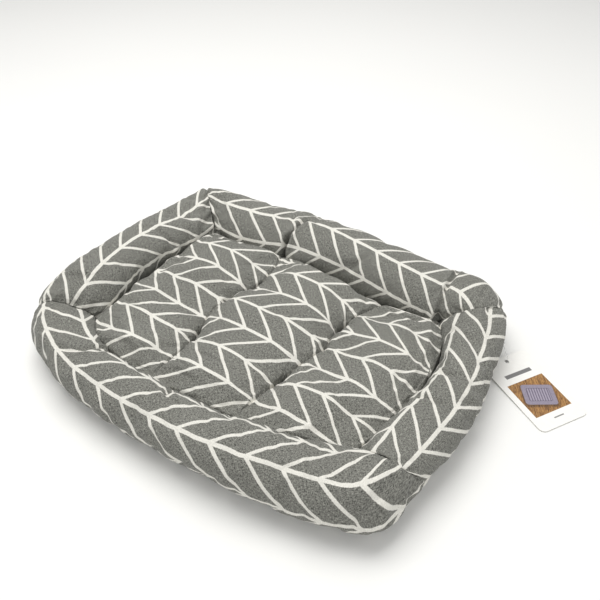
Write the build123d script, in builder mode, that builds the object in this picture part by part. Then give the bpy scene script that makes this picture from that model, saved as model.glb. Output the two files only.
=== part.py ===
from build123d import *
import math
import os

# Pet cushion bed: a shallow rectangular bed made of one stuffed bolster along
# each side, mitred at the corners, around a flat pad that is quilted into three
# stuffed chambers and tufted at four points.  Millimetres, +Z up.  The origin is
# on the floor, at the centre of the bed's footprint; +X runs along the long side.

# ---------------------------------------------------------------- dimensions
cloth = 0.9            # thickness of the printed canvas
clear = 0.3            # gap kept between neighbouring soft pieces
base_thick = 1.2       # thickness of the bottom cloth
tube_low = base_thick + clear   # underside of every bolster

# each bolster's section: half its width, half its height, height of its middle
front_section = (25.6, 25.6, 26.6)
right_section = (25.6, 25.6, 26.6)
back_section = (34.0, 28.6, 29.6)
left_section = (32.0, 28.6, 29.6)

# corner points of the bolster centre lines (plan)
corner_left = (-176.0, -112.0)
corner_front = (180.0, -108.0)
corner_right = (169.0, 122.0)
corner_back = (-175.0, 124.0)

# mid points that bow each side outwards
bow_front = (-20.0, -146.0)
bow_right = (188.5, 5.0)
bow_back = (-15.0, 133.0)
bow_left = (-182.0, 5.0)

# direction of each mitre seam, from the outer corner to the pad (degrees)
mitre_left = 41.0
mitre_front = 148.0
mitre_right = 227.0
mitre_back = -43.0
mitre_gap = 1.0        # each cover stops this far from the mitre plane
run_out = 45.0         # extra length that the mitre cut removes

# pad
pad_left = (-143.0, -94.5)
pad_front = (155.0, -88.0)
pad_right = (149.0, 88.0)
pad_back = (-144.0, 90.5)
pad_bow_front = (-2.7, -118.5)
pad_bow_right = (161.0, -15.0)
pad_bow_back = (-11.6, 96.8)
pad_bow_left = (-147.8, 1.5)
lining_low = 3.4       # underside of the pad lining
lining_thick = 0.8
valley_z = 33.0        # pad height at the quilting lines
crown_z = 41.5         # pad height at the middle of each chamber
quilt_x = (-46.0, 62.5)     # the two quilting lines across the pad
edge_x = (-170.0, 180.0)    # where the outer chambers' crowns would end
chamber_gap = 3.0      # width of the closed strip between two chambers

# tufts (x on a quilting line, y along it)
tufts = ((-46.0, 32.0), (-46.0, -55.0), (62.5, 32.0), (62.5, -59.0))
tie_d = 1.4
tie_hole_d = 2.2
knot_d = 4.0

# hang tag
tag_hole = (210.0, 109.0)   # centre of the tag's hole, plan
tag_dir = (0.857, -0.515)   # from the hole to the tag's far end
tag_tilt = 0.9              # degrees, the far end rests on the floor
tag_w = 53.4
tag_l = 89.5
tag_top = 6.5               # from the hole to the near edge
tag_t = 0.5
tag_hole_d = 4.2
tag_corner_r = 6.0
tag_z = 1.7                 # underside of the card at the hole
pin_d = 0.8                 # nylon filament
pin_bar_d = 1.1             # nylon end bars
pin_anchor = (200.4, 116.0, 15.6)   # where the filament leaves the cover

# stitches
stitch_l = 4.2
stitch_t = 0.8

os.makedirs("parts", exist_ok=True)


def unit(ax, ay):
    n = math.hypot(ax, ay)
    return (ax / n, ay / n)


def bolster_path(a, m, b, height):
    """Centre line through a, m and b, run straight on past both ends."""
    with BuildLine(Plane.XY.offset(height)) as path:
        arc = ThreePointArc(a, m, b)
        t0 = arc % 0
        t1 = arc % 1
        Line((a[0] - t0.X * run_out, a[1] - t0.Y * run_out), a)
        Line(b, (b[0] + t1.X * run_out, b[1] + t1.Y * run_out))
    return path


def section_plane(path):
    """Section plane at the start of a centre line: local x across, local y up."""
    start = path.wire() @ 0
    d = path.wire() % 0
    return Plane(origin=start, x_dir=(-d.Y, d.X, 0), z_dir=(d.X, d.Y, 0))


def mitre_plane(corner, angle, side, back_off):
    """Vertical plane along the mitre seam, moved back_off towards the bolster."""
    a = math.radians(angle)
    n = (-math.sin(a) * side, math.cos(a) * side)
    return Plane(
        origin=(corner[0] + n[0] * back_off, corner[1] + n[1] * back_off, 0),
        z_dir=(n[0], n[1], 0),
    )


def tube(path, section, inset, ends):
    """Round or oval bolster with a flat underside, cut at the two mitre planes."""
    half_w, half_h, height = section
    with BuildPart() as body:
        with BuildLine():
            add(path.wire())
        pl = section_plane(path)
        with BuildSketch(pl):
            if half_w == half_h:
                Circle(half_w - inset)
            else:
                Ellipse(half_w - inset, half_h - inset)
            low = height - tube_low - inset
            with Locations((0, -low - half_h)):
                Rectangle(4 * half_w, 2 * half_h, mode=Mode.SUBTRACT)
        sweep(path=path.wire())
        for corner, angle, side in ends:
            split(bisect_by=mitre_plane(corner, angle, side, mitre_gap + inset), keep=Keep.TOP)
    return body.part


path_front = bolster_path(corner_left, bow_front, corner_front, front_section[2])
path_right = bolster_path(corner_front, bow_right, corner_right, right_section[2])
path_back = bolster_path(corner_right, bow_back, corner_back, back_section[2])
path_left = bolster_path(corner_back, bow_left, corner_left, left_section[2])

ends_front = ((corner_left, mitre_left, -1), (corner_front, mitre_front, 1))
ends_right = ((corner_front, mitre_front, -1), (corner_right, mitre_right, 1))
ends_back = ((corner_right, mitre_right, -1), (corner_back, mitre_back, 1))
ends_left = ((corner_back, mitre_back, -1), (corner_left, mitre_left, 1))

# ---------------------------------------------------------------- bolsters
with BuildPart() as bolster_cover_front:
    add(tube(path_front, front_section, 0, ends_front))
    add(tube(path_front, front_section, cloth, ends_front), mode=Mode.SUBTRACT)
with BuildPart() as bolster_fill_front:
    add(tube(path_front, front_section, cloth + clear, ends_front))

with BuildPart() as bolster_cover_right:
    add(tube(path_right, right_section, 0, ends_right))
    add(tube(path_right, right_section, cloth, ends_right), mode=Mode.SUBTRACT)
with BuildPart() as bolster_fill_right:
    add(tube(path_right, right_section, cloth + clear, ends_right))

with BuildPart() as bolster_cover_back:
    add(tube(path_back, back_section, 0, ends_back))
    add(tube(path_back, back_section, cloth, ends_back), mode=Mode.SUBTRACT)
with BuildPart() as bolster_fill_back:
    add(tube(path_back, back_section, cloth + clear, ends_back))

with BuildPart() as bolster_cover_left:
    add(tube(path_left, left_section, 0, ends_left))
    add(tube(path_left, left_section, cloth, ends_left), mode=Mode.SUBTRACT)
with BuildPart() as bolster_fill_left:
    add(tube(path_left, left_section, cloth + clear, ends_left))


# ---------------------------------------------------------------- bottom cloth
def bed_outline(grow):
    """Closed outline through the four corners, bowed like the bolsters."""
    def out(p, q):
        dx, dy = unit(p[0] - q[0], p[1] - q[1])
        return (p[0] + dx * grow, p[1] + dy * grow)
    c = (0.0, 0.0)
    l, f, r, b = (out(p, c) for p in (corner_left, corner_front, corner_right, corner_back))
    with BuildLine() as line:
        ThreePointArc(l, (bow_front[0], bow_front[1] - grow * 0.8), f)
        ThreePointArc(f, (bow_right[0] + grow * 0.8, bow_right[1]), r)
        ThreePointArc(r, (bow_back[0], bow_back[1] + grow * 0.8), b)
        ThreePointArc(b, (bow_left[0] - grow * 0.8, bow_left[1]), l)
    return line


with BuildPart() as base_panel:
    with BuildSketch(Plane.XY):
        with BuildLine():
            add(bed_outline(7.0).line)
        make_face()
    extrude(amount=base_thick)
    fillet(base_panel.edges().filter_by(Axis.Z), 9.0)


# ---------------------------------------------------------------- pad
def pad_outline():
    with BuildLine() as line:
        ThreePointArc(pad_left, pad_bow_front, pad_front)
        ThreePointArc(pad_front, pad_bow_right, pad_right)
        ThreePointArc(pad_right, pad_bow_back, pad_back)
        ThreePointArc(pad_back, pad_bow_left, pad_left)
    return line


def pad_prism(z0, z1, inset):
    with BuildPart() as prism:
        with BuildSketch(Plane.XY.offset(z0)):
            with BuildLine():
                add(pad_outline().line)
            make_face()
            if inset:
                offset(amount=-inset, kind=Kind.INTERSECTION)
        extrude(amount=z1 - z0)
        fillet(prism.edges().filter_by(Axis.Z), 8.0 - inset)
    return prism.part


def crown_block(low, drop):
    """Block under the three crowns, from height low up to the crowns less drop."""
    xs = (edge_x[0], quilt_x[0], quilt_x[1], edge_x[1])
    with BuildPart() as block:
        with BuildSketch(Plane.XZ.offset(-150)):
            with BuildLine():
                for x0, x1 in zip(xs[:-1], xs[1:]):
                    ThreePointArc(
                        (x0, valley_z - drop),
                        ((x0 + x1) / 2, crown_z - drop),
                        (x1, valley_z - drop),
                    )
                Polyline((xs[-1], valley_z - drop), (xs[-1], low), (xs[0], low), (xs[0], valley_z - drop))
            make_face()
        extrude(amount=300)
    return block.part


with BuildPart() as pad_cover:
    add(pad_prism(lining_low + lining_thick + clear, 60, 0))
    add(crown_block(0, 0), mode=Mode.INTERSECT)
    with BuildPart(mode=Mode.PRIVATE) as hollow:
        add(pad_prism(0, 60, cloth))
        add(crown_block(-1, cloth), mode=Mode.INTERSECT)
    add(hollow.part, mode=Mode.SUBTRACT)
    for p in tufts:
        with Locations(Plane((p[0], p[1], valley_z))):
            Cylinder(tie_hole_d / 2, 8, mode=Mode.SUBTRACT)

fill_low = lining_low + lining_thick + clear


def chamber(x0, x1):
    """Filling of one chamber, between two quilting lines."""
    with BuildPart() as body:
        add(pad_prism(fill_low, 60, cloth + clear))
        add(crown_block(0, cloth + clear), mode=Mode.INTERSECT)
        with Locations(((x0 + x1) / 2, 0, 30)):
            Box(x1 - x0, 400, 100, mode=Mode.INTERSECT)
    return body.part


with BuildPart() as pad_fill_left:
    add(chamber(edge_x[0], quilt_x[0] - chamber_gap / 2))
with BuildPart() as pad_fill_middle:
    add(chamber(quilt_x[0] + chamber_gap / 2, quilt_x[1] - chamber_gap / 2))
with BuildPart() as pad_fill_right:
    add(chamber(quilt_x[1] + chamber_gap / 2, edge_x[1]))

with BuildPart() as pad_lining:
    add(pad_prism(lining_low, lining_low + lining_thick, 0))
    for p in tufts:
        with Locations((p[0], p[1], lining_low)):
            Cylinder(tie_hole_d / 2, 8, mode=Mode.SUBTRACT)

# ---------------------------------------------------------------- threads
knot_low = base_thick + clear
knot_h = 1.5
top_bar_z = valley_z + 0.45
with BuildPart() as tuft_ties:
    for p in tufts:
        with BuildSketch(Plane.XY.offset(knot_low)):
            with Locations(p):
                Circle(knot_d / 2)
        extrude(amount=knot_h)
        with BuildSketch(Plane.XY.offset(knot_low)):
            with Locations(p):
                Circle(tie_d / 2)
        extrude(amount=top_bar_z + 1.2 - knot_low)
        with BuildSketch(Plane.XY.offset(top_bar_z)):
            with Locations(p):
                SlotOverall(6.0, 1.8, rotation=90)
        extrude(amount=1.2)


def stitch_row(x, y0, y1):
    n = int((y1 - y0) / 7.0)
    return [(x, y0 + (i + 0.5) * (y1 - y0) / n) for i in range(n)]


with BuildPart() as quilting_stitches:
    spots = [
        q
        for x, y0, y1 in ((quilt_x[0], -112.0, 90.0), (quilt_x[1], -106.0, 88.0))
        for q in stitch_row(x, y0, y1)
        if all(math.hypot(q[0] - t[0], q[1] - t[1]) > 7.0 for t in tufts)
    ]
    with BuildSketch(Plane.XY.offset(valley_z + 0.2)):
        with Locations(*spots):
            SlotOverall(stitch_l, stitch_t, rotation=90)
    extrude(amount=0.6)

# thread that closes each mitre seam, inside the gap between two covers
with BuildPart() as mitre_stitches:
    for corner, angle, section in (
        (corner_left, mitre_left, front_section),
        (corner_front, mitre_front, front_section),
        (corner_right, mitre_right, right_section),
        (corner_back, mitre_back, back_section),
    ):
        radius = section[1]
        a = math.radians(angle)
        seam = Plane(
            origin=(corner[0], corner[1], section[2]),
            x_dir=(math.cos(a), math.sin(a), 0),
            z_dir=(math.sin(a), -math.cos(a), 0),
        )
        with BuildSketch(seam.offset(-stitch_t / 2)):
            for k in range(9):
                t = math.radians(-20 + k * 27.5)
                with Locations((1.2 * (radius - 3) * math.cos(t), (radius - 3) * math.sin(t))):
                    Rectangle(stitch_l, stitch_t, rotation=math.degrees(t) + 90)
        extrude(amount=stitch_t)

# thread between the pad and the bolsters, beside the pad's wall
with BuildPart() as pad_seam_stitches:
    for a, m, b in (
        (pad_left, pad_bow_front, pad_front),
        (pad_front, pad_bow_right, pad_right),
        (pad_right, pad_bow_back, pad_back),
        (pad_back, pad_bow_left, pad_left),
    ):
        with BuildLine(mode=Mode.PRIVATE) as edge:
            ThreePointArc(a, m, b)
        w = edge.wire()
        n = int((w.length - 40) / 10)
        for i in range(n):
            s = (20 + (i + 0.5) * (w.length - 40) / n) / w.length
            q = w @ s
            d = w % s
            spot = Plane(origin=(q.X + d.Y * 0.9, q.Y - d.X * 0.9, 30.0), x_dir=(d.X, d.Y, 0), z_dir=(0, 0, 1))
            with BuildSketch(spot):
                Rectangle(stitch_l, stitch_t)
            extrude(amount=stitch_t)

# ---------------------------------------------------------------- hang tag
tau = math.radians(tag_tilt)
tx, ty = unit(*tag_dir)
tag_plane = Plane(
    origin=(tag_hole[0], tag_hole[1], tag_z),
    x_dir=(tx * math.cos(tau), ty * math.cos(tau), -math.sin(tau)),
    z_dir=(tx * math.sin(tau), ty * math.sin(tau), math.cos(tau)),
)
with BuildPart() as hang_tag:
    with BuildSketch(tag_plane):
        with Locations((tag_l / 2 - tag_top, 0)):
            RectangleRounded(tag_l, tag_w, tag_corner_r)
        Circle(tag_hole_d / 2, mode=Mode.SUBTRACT)
    extrude(amount=tag_t)

# moulded nylon pin: a bar under the card, a filament up through the hole and a
# second bar against the bolster cover
bar_l = 6.4
with BuildPart() as tag_fastener:
    low = Vector(tag_hole[0], tag_hole[1], tag_z - 0.12 - pin_bar_d / 2)
    top = Vector(*pin_anchor)
    bend = Vector(tag_hole[0], tag_hole[1], 7.0)
    with BuildLine() as run:
        FilletPolyline(low, bend, top, radius=4.0)
    with BuildSketch(Plane(origin=low, z_dir=(0, 0, 1))):
        Circle(pin_d / 2)
    sweep(path=run.wire())
    with BuildSketch(Plane(origin=(low.X + ty * bar_l / 2, low.Y - tx * bar_l / 2, low.Z), z_dir=(-ty, tx, 0))):
        Circle(pin_bar_d / 2)
    extrude(amount=bar_l)
    with BuildSketch(Plane(origin=(top.X - ty * 2.5, top.Y + tx * 2.5, top.Z), z_dir=(ty, -tx, 0))):
        Circle(pin_bar_d / 2)
    extrude(amount=5.0)

# ---------------------------------------------------------------- export
base_panel.part.label = "base_panel"
export_step(base_panel.part, "parts/base_panel.step")
bolster_cover_front.part.label = "bolster_cover_front"
export_step(bolster_cover_front.part, "parts/bolster_cover_front.step")
bolster_fill_front.part.label = "bolster_fill_front"
export_step(bolster_fill_front.part, "parts/bolster_fill_front.step")
bolster_cover_right.part.label = "bolster_cover_right"
export_step(bolster_cover_right.part, "parts/bolster_cover_right.step")
bolster_fill_right.part.label = "bolster_fill_right"
export_step(bolster_fill_right.part, "parts/bolster_fill_right.step")
bolster_cover_back.part.label = "bolster_cover_back"
export_step(bolster_cover_back.part, "parts/bolster_cover_back.step")
bolster_fill_back.part.label = "bolster_fill_back"
export_step(bolster_fill_back.part, "parts/bolster_fill_back.step")
bolster_cover_left.part.label = "bolster_cover_left"
export_step(bolster_cover_left.part, "parts/bolster_cover_left.step")
bolster_fill_left.part.label = "bolster_fill_left"
export_step(bolster_fill_left.part, "parts/bolster_fill_left.step")
pad_cover.part.label = "pad_cover"
export_step(pad_cover.part, "parts/pad_cover.step")
pad_fill_left.part.label = "pad_fill_left"
export_step(pad_fill_left.part, "parts/pad_fill_left.step")
pad_fill_middle.part.label = "pad_fill_middle"
export_step(pad_fill_middle.part, "parts/pad_fill_middle.step")
pad_fill_right.part.label = "pad_fill_right"
export_step(pad_fill_right.part, "parts/pad_fill_right.step")
pad_lining.part.label = "pad_lining"
export_step(pad_lining.part, "parts/pad_lining.step")
tuft_ties.part.label = "tuft_ties"
export_step(tuft_ties.part, "parts/tuft_ties.step")
quilting_stitches.part.label = "quilting_stitches"
export_step(quilting_stitches.part, "parts/quilting_stitches.step")
mitre_stitches.part.label = "mitre_stitches"
export_step(mitre_stitches.part, "parts/mitre_stitches.step")
pad_seam_stitches.part.label = "pad_seam_stitches"
export_step(pad_seam_stitches.part, "parts/pad_seam_stitches.step")
hang_tag.part.label = "hang_tag"
export_step(hang_tag.part, "parts/hang_tag.step")
tag_fastener.part.label = "tag_fastener"
export_step(tag_fastener.part, "parts/tag_fastener.step")
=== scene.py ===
import math

import bpy
import numpy as np
from mathutils import Matrix, Vector


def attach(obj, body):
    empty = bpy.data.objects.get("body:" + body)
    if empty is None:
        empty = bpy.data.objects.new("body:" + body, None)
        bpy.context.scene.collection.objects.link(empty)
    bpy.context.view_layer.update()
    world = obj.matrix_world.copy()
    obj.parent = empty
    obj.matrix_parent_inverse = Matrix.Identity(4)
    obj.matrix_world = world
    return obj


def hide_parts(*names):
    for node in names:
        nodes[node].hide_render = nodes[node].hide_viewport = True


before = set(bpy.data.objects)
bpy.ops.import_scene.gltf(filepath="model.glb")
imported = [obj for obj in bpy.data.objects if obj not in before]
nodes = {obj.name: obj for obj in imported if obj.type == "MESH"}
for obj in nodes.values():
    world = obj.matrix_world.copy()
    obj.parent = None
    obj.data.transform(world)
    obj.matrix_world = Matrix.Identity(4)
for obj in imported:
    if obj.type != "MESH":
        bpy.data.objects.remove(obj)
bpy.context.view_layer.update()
MM = 0.001

# ------------------------------------------------------------ shape of the bed (mm)
P_MM = 30.0      # pitch of the print along a spine
W_MM = 33.0      # width of one column of the print
RIB = 1.22       # slant of a rib, in pitches per column

def spline(xs, ys):
    """natural cubic spline through (xs, ys); returns f(x, derivative)"""
    xs = np.asarray(xs, float); ys = np.asarray(ys, float)
    n = len(xs); h = np.diff(xs)
    A = np.zeros((n, n)); b = np.zeros((n,) + ys.shape[1:])
    A[0, 0] = A[-1, -1] = 1.0
    for i in range(1, n - 1):
        A[i, i - 1] = h[i - 1]; A[i, i] = 2 * (h[i - 1] + h[i]); A[i, i + 1] = h[i]
        b[i] = 6 * ((ys[i + 1] - ys[i]) / h[i] - (ys[i] - ys[i - 1]) / h[i - 1])
    m = np.linalg.solve(A, b)
    def f(x, d=0):
        x = np.asarray(x, float)
        i = np.clip(np.searchsorted(xs, x) - 1, 0, n - 2)
        hh = h[i]; a = (xs[i + 1] - x); c = (x - xs[i])
        # linear continuation outside the knots
        lo = x < xs[0]; hi = x > xs[-1]
        if ys.ndim > 1:
            hh = hh[..., None]; a = a[..., None]; c = c[..., None]
        if d == 0:
            v = m[i] * a**3 / (6 * hh) + m[i + 1] * c**3 / (6 * hh) + (ys[i] / hh - m[i] * hh / 6) * a + (ys[i + 1] / hh - m[i + 1] * hh / 6) * c
        else:
            v = -m[i] * a**2 / (2 * hh) + m[i + 1] * c**2 / (2 * hh) - (ys[i] / hh - m[i] * hh / 6) + (ys[i + 1] / hh - m[i + 1] * hh / 6)
        for mask, x0, j in ((lo, xs[0], 0), (hi, xs[-1], n - 1)):
            if np.any(mask):
                if j == 0:
                    s = (ys[1] - ys[0]) / h[0] - h[0] * (2 * m[0] + m[1]) / 6
                else:
                    s = (ys[-1] - ys[-2]) / h[-1] + h[-1] * (m[-2] + 2 * m[-1]) / 6
                if d == 0:
                    dx = (x - x0)
                    val = ys[j] + (dx[..., None] if ys.ndim > 1 else dx) * s
                else:
                    val = np.broadcast_to(s, v.shape)
                mk = mask[..., None] if ys.ndim > 1 else mask
                v = np.where(mk, val, v)
        return v
    return f

# centre line knots (u in pitches), plan position, half width a, half height b, angle of the main spine
BOL = {
 "front": dict(out=-1, k=[-1.0,2.0,5.0,8.0,11.0,14.0], x=[-201.6,-120.9,-32.8,57.5,141.0,215.0], y=[-103.5,-135.8,-145.7,-140.8,-125.6,-99.0],
               a=[25.5,24.5,25.2,27.0,28.2,27.5], b=[25.5,24.5,25.2,26.5,27.0,27.0], ph=[66.5,61.4,55.5,61.0,66.0,68.0]),
 "right": dict(out=-1, k=[-1.0,1.5,4.0,6.5,9.0], x=[178.5,185.0,189.7,180.6,171.8], y=[-118.9,-54.1,14.7,87.2,155.0],
               a=[23.0,25.7,24.9,25.9,24.8], b=[25.3,25.7,25.5,25.9,26.0], ph=[62.2,61.1,65.5,67.2,65.9]),
 "left": dict(out=1, k=[-1.0,2.0,4.5,7.0,9.5], x=[-171.5,-179.7,-181.0,-176.0,-173.4], y=[-132.2,-50.8,22.4,92.6,179.4],
               a=[29.5,33.1,32.0,31.5,31.0], b=[27.5,29.8,28.7,28.4,28.8], ph=[133.3,108.1,103.4,106.1,104.5]),
 "back": dict(out=1, k=[-1.0,1.5,3.5,6.0,8.5,11.5], x=[-176.8,-95.8,-48.8,23.4,92.9,155.9], y=[121.5,126.4,133.7,131.3,122.5,128.6],
               a=[33.0,34.0,34.5,35.0,35.0,32.7], b=[28.4,27.8,29.3,29.0,29.8,28.7], ph=[103.6,99.3,93.1,95.4,103.4,107.0]),
}
ZB = 2.0
def tube(name, u, psi):
    """point on a bolster's tube: u along (pitches), psi round (radians, 0 outward, pi/2 up)"""
    B = BOL[name]
    if "f" not in B:
        B["f"] = {q: spline(B["k"], B[q]) for q in ("x", "y", "a", "b", "ph")}
    f = B["f"]
    dx, dy = f["x"](u, 1), f["y"](u, 1); L = np.hypot(dx, dy)
    nx, ny = -dy / L * B["out"], dx / L * B["out"]
    a, b = f["a"](u), f["b"](u)
    ca, sa = np.cos(psi), np.sin(psi)
    X = f["x"](u) + nx * a * ca
    Y = f["y"](u) + ny * a * ca
    Z = b + ZB + b * sa
    # the underside lies flat on the bottom cloth
    Z = np.where(Z < 7.0, 1.6 + 5.4 * np.clip((Z - ZB + 1e-6) / 5.0, 0, 1) ** 1.5, Z)
    return np.stack([X, Y, Z], -1)
def vcol(name, u, psi):
    """print column at a point of the tube"""
    f = BOL[name]["f"]
    r = 0.5 * (f["a"](u) + f["b"](u))
    return (psi - np.radians(f["ph"](u))) * r / W_MM

# corner loops: psi (deg), x, y, z
PSI = [-120, -85, -45, 0, 45, 90, 135, 180, 215, 240]
COR = {
 "F": [(168,-92,1.8),(187,-90,1.8),(202,-82,9),(207.5,-78,28),(199,-90,46),(183,-93,54.5),(165,-89,47),(151,-84,30),(152,-85,13),(168,-92,1.8)],
 "R": [(150,106,1.8),(170,124,1.8),(185,137,10),(191,140,30),(188,128,49),(175,106,59),(155,97,48.5),(140,93,32),(140,97,14),(150,106,1.8)],
 "B": [(-160,108,1.8),(-178,124,1.8),(-192,138,10),(-199,143,30),(-191,137,50),(-178,124.5,59),(-158,106,50),(-143,94,32),(-146,96,14),(-160,108,1.8)],
 "L": [(-160,-100,1.8),(-177,-111,1.8),(-189,-118,9),(-195,-121.5,28),(-189,-117.5,46),(-176,-109,53),(-156,-96,44),(-143,-88,30),(-146,-90,13),(-160,-100,1.8)],
}
ENDS = {"front": ("L", "F"), "right": ("F", "R"), "left": ("L", "B"), "back": ("B", "R")}
def corner(name, psi):
    f = spline(np.radians(PSI), np.array(COR[name], float))
    return f(psi)
def ufoot(name, E, u0):
    """u where a corner point projects on a bolster's centre line"""
    B = BOL[name]; f = B["f"]
    us = np.linspace(B["k"][0] - 1.5, B["k"][-1] + 1.5, 600)
    C = np.stack([f["x"](us), f["y"](us)], -1)
    out = []
    for e in E[:, :2]:
        d = np.hypot(*(C - e).T) + 0.0 * abs(us - u0)
        out.append(us[np.argmin(d)])
    return np.array(out)
def bolster(name, ns, nt, reach=1.6):
    """grid of points and print coordinates, ns along and nt round"""
    psi = np.radians(np.linspace(-120, 240, nt))
    tube(name, np.array([0.0]), psi[:1])
    c0, c1 = ENDS[name]
    E0, E1 = corner(c0, psi), corner(c1, psi)
    if name in ("left", "back", "right", "front"):
        pass
    u0 = ufoot(name, E0, 0); u1 = ufoot(name, E1, 12)
    s = np.linspace(0, 1, ns)[:, None]
    # closer spacing at the two ends
    s = 0.5 - 0.5 * np.cos(np.pi * s) * (1 - 0.35) - 0.35 * (0.5 - s)
    s = (s - s[0]) / (s[-1] - s[0])
    U = u0[None] + s * (u1 - u0)[None]
    PS = np.broadcast_to(psi[None], U.shape)
    T = tube(name, U, PS)
    for E, ue, sg in ((E0, u0, 1), (E1, u1, -1)):
        Te = tube(name, ue, psi)
        off = (E - Te)[None]
        d = np.clip(1 - (U - ue[None]) * sg / reach, 0, 1)
        w = (d * d)[..., None]   # rounds the outside of the corner
        T = T + off * w
    V = vcol(name, U, PS)
    return T, U, V, PS

# ------------------------------------------------------------ camera and light
def make_camera():
    cam = bpy.data.cameras.new("photo_camera")
    cam.sensor_width = 36.0
    cam.lens = 39.06
    cam.clip_start = 0.01
    cam.clip_end = 50
    ob = bpy.data.objects.new("photo_camera", cam)
    r = Vector((0.8297, 0.5582, 0.0)).normalized()
    b = Vector((0.4254, -0.6324, 0.6473)).normalized()
    u = b.cross(r).normalized()
    r = u.cross(b).normalized()
    m = Matrix((r, u, b)).transposed().to_4x4()
    m.translation = Vector((0.2915, -0.3751, 0.4610))
    ob.matrix_world = m
    bpy.context.scene.collection.objects.link(ob)
    bpy.context.scene.camera = ob


def area_light(name, loc, target, size, power, color=(1, 1, 1)):
    d = bpy.data.lights.new(name, "AREA")
    d.shape = "RECTANGLE"
    d.size, d.size_y = size
    d.energy = power
    d.color = color
    ob = bpy.data.objects.new(name, d)
    ob.location = loc
    ob.rotation_euler = (Vector(target) - Vector(loc)).to_track_quat("-Z", "Y").to_euler()
    bpy.context.scene.collection.objects.link(ob)


make_camera()
area_light("softbox_top", (-0.34, 0.16, 1.55), (0.0, 0.0, 0.0), (1.3, 1.1), 19.5, (1.0, 0.99, 0.97))
area_light("softbox_side", (1.25, -0.9, 1.1), (0.0, 0.0, 0.03), (0.9, 0.9), 4.0, (1.0, 0.99, 0.98))
world = bpy.data.worlds.new("studio")
world.use_nodes = True
world.node_tree.nodes["Background"].inputs[0].default_value = (1.0, 1.0, 0.995, 1)
world.node_tree.nodes["Background"].inputs[1].default_value = 0.53
bpy.context.scene.world = world
bpy.context.scene.view_settings.view_transform = "Standard"


# ------------------------------------------------------------ materials
class Mat:
    """A small helper that adds nodes to one material."""
    def __init__(self, name):
        self.m = bpy.data.materials.new(name)
        self.m.use_nodes = True
        self.t = self.m.node_tree
        self.b = self.t.nodes["Principled BSDF"]

    def node(self, kind, **props):
        n = self.t.nodes.new("ShaderNode" + kind)
        for k, v in props.items():
            setattr(n, k, v)
        return n

    def put(self, sock, v):
        if isinstance(v, bpy.types.NodeSocket):
            self.t.links.new(v, sock)
        elif v is not None:
            sock.default_value = v

    def math(self, op, a, b=None, c=None, clamp=False):
        n = self.node("Math", operation=op, use_clamp=clamp)
        for i, v in enumerate((a, b, c)):
            if v is not None:
                self.put(n.inputs[i], v)
        return n.outputs[0]

    def noise(self, vec, scale, detail=2.0, rough=0.5, dist=0.0):
        n = self.node("TexNoise")
        self.put(n.inputs["Vector"], vec)
        n.inputs["Scale"].default_value = scale
        n.inputs["Detail"].default_value = detail
        n.inputs["Roughness"].default_value = rough
        n.inputs["Distortion"].default_value = dist
        return n.outputs["Fac"]

    def step(self, x, lo, hi, a=0.0, b=1.0):
        n = self.node("MapRange", interpolation_type="SMOOTHSTEP")
        for i, v in enumerate((x, lo, hi, a, b)):
            self.put(n.inputs[i], v)
        return n.outputs[0]

    def mix(self, fac, a, b):
        n = self.node("Mix", data_type="RGBA")
        self.put(n.inputs[0], fac)
        self.put(n.inputs[6], a)
        self.put(n.inputs[7], b)
        return n.outputs[2]

    def scale_colour(self, col, fac):
        n = self.node("VectorMath", operation="SCALE")
        self.put(n.inputs[0], col[:3] if isinstance(col, tuple) else col)
        self.put(n.inputs[3], fac)
        return n.outputs[0]

    def bump(self, height, distance, strength=1.0, normal=None):
        n = self.node("Bump")
        n.inputs["Strength"].default_value = strength
        n.inputs["Distance"].default_value = distance
        self.put(n.inputs["Height"], height)
        if normal is not None:
            self.put(n.inputs["Normal"], normal)
        return n.outputs[0]

    def sheen(self, weight, rough=0.5):
        self.b.inputs["Sheen Weight"].default_value = weight
        self.b.inputs["Sheen Roughness"].default_value = rough


def srgb(r, g, b):
    f = lambda c: c / 12.92 if c <= 0.04045 else ((c + 0.055) / 1.055) ** 2.4
    return (f(r / 255), f(g / 255), f(b / 255), 1.0)


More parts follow.
